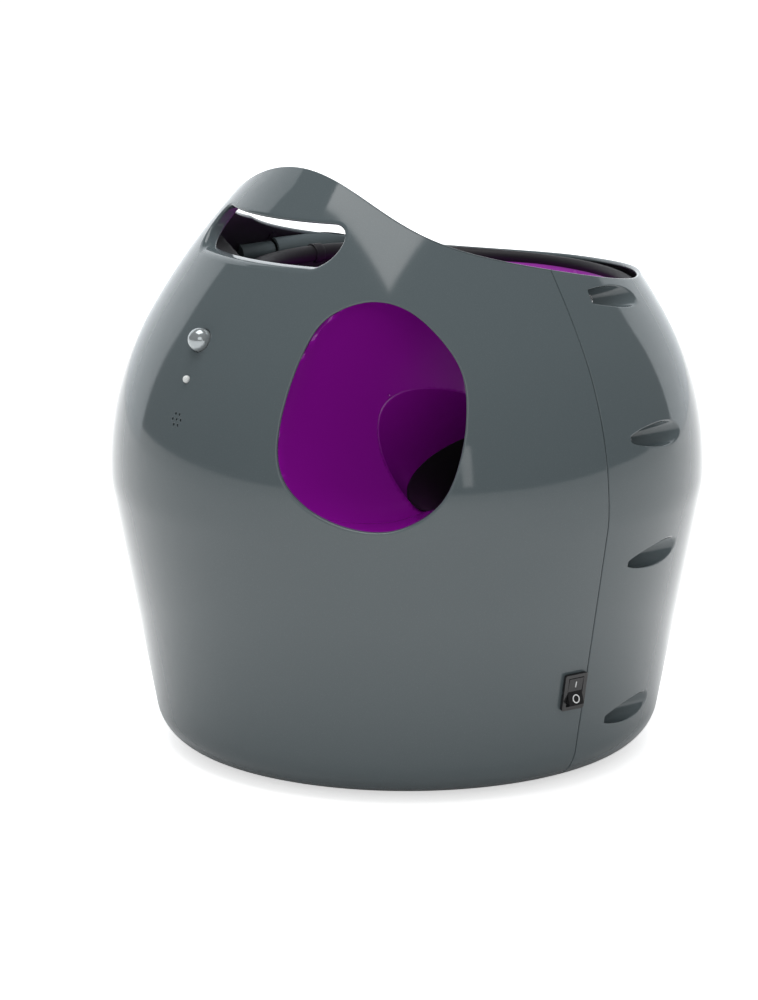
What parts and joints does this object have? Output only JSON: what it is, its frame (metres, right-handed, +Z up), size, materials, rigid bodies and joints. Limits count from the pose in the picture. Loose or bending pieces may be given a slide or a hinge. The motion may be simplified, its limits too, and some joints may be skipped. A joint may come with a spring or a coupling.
{
  "type": "automatic ball launcher",
  "caption": "Dome-shaped pet ball launcher: open hopper with handle hood, inclined spring plunger driven by gears, oval launch window, presence sensors and rocker switch.",
  "frame": {"origin": "on the floor under the middle of the casing", "axes": "+Z up, -Y towards the front sensor and hand slot, +X to the side with the power switch"},
  "size_m": [0.335, 0.335, 0.3332],
  "materials": {
    "casing": "gloss gunmetal",
    "liner": "gloss purple",
    "dark": "matt black",
    "base": "matt dark grey",
    "rubber": "matt",
    "steel": "brushed",
    "brass": "turned",
    "cell": "wrapped",
    "natural": "natural white",
    "board": "solder mask",
    "lens": "clear",
    "switch": "gloss black"
  },
  "bodies": {
    "casing": {"front_shell": "casing", "rear_shell": "casing", "shell_screws": "steel", "base_plate": "base", "rubber_feet": "rubber", "battery_door": "base", "door_screw": "steel", "battery_tray": "base", "battery_cells": "cell", "battery_contacts": "steel", "hopper_collar": "dark", "collar_sleeves": "dark", "hopper_bowl": "liner", "feed_chute": "liner", "window_liner": "liner", "launch_barrel": "dark", "breech_cap": "dark", "launch_spring": "steel", "launcher_chassis": "base", "chassis_screws": "steel", "idler_shaft": "steel", "drive_motor": "steel", "control_board": "board", "front_sensor_lens": "lens", "rear_sensor_lens": "lens", "front_sensor_board": "board", "rear_sensor_board": "board", "status_light": "lens", "sounder": "dark", "power_switch": "switch", "distance_control": "base", "power_inlet": "dark"},
    "plunger": {"plunger": "natural", "plunger_pad": "rubber"},
    "drive_gear": {"drive_gear": "natural", "drive_shaft": "steel"},
    "idler": {"idler_gear": "natural"},
    "motor_rotor": {"motor_pinion": "brass", "motor_shaft": "steel"},
    "rocker": {"power_rocker": "switch"},
    "dial": {"distance_dial": "dark"}
  },
  "joints": [
    {"name": "plunger_slide", "type": "slide", "parent": "casing", "child": "plunger", "axis": [-0.0818, 0.7783, -0.6225], "range_m": [0, 0.045], "deforming": ["launch_spring"]},
    {"name": "drive_spin", "type": "hinge", "parent": "casing", "child": "drive_gear", "pos_m": [0.08693, 0.00474, 0.06897], "axis": [0.9945, 0.1045, 0], "range_deg": [-214.86, 0]},
    {"name": "idler_spin", "type": "hinge", "parent": "casing", "child": "idler", "pos_m": [0.09007, -0.0251, 0.06996], "axis": [0.9945, 0.1045, 0], "range_deg": [0, 859.44]},
    {"name": "motor_spin", "type": "hinge", "parent": "casing", "child": "motor_rotor", "pos_m": [0.09258, -0.04897, 0.07056], "axis": [0.9945, 0.1045, 0], "range_deg": [-2578.31, 0]},
    {"name": "rocker_tilt", "type": "hinge", "parent": "casing", "child": "rocker", "pos_m": [0.14948, -0.00888, 0.05805], "axis": [0.0593, 0.9982, 0], "range_deg": [0, 24]},
    {"name": "dial_turn", "type": "hinge", "parent": "casing", "child": "dial", "pos_m": [0, 0.15538, 0.222], "axis": [0, 0.9307, 0.3657], "range_deg": [0, 240]}
  ],
  "couplings": [
    {"joint": "drive_spin", "follows": "plunger_slide", "rad_per_m": -83.333},
    {"joint": "idler_spin", "follows": "plunger_slide", "rad_per_m": 333.33},
    {"joint": "motor_spin", "follows": "plunger_slide", "rad_per_m": -1000}
  ]
}
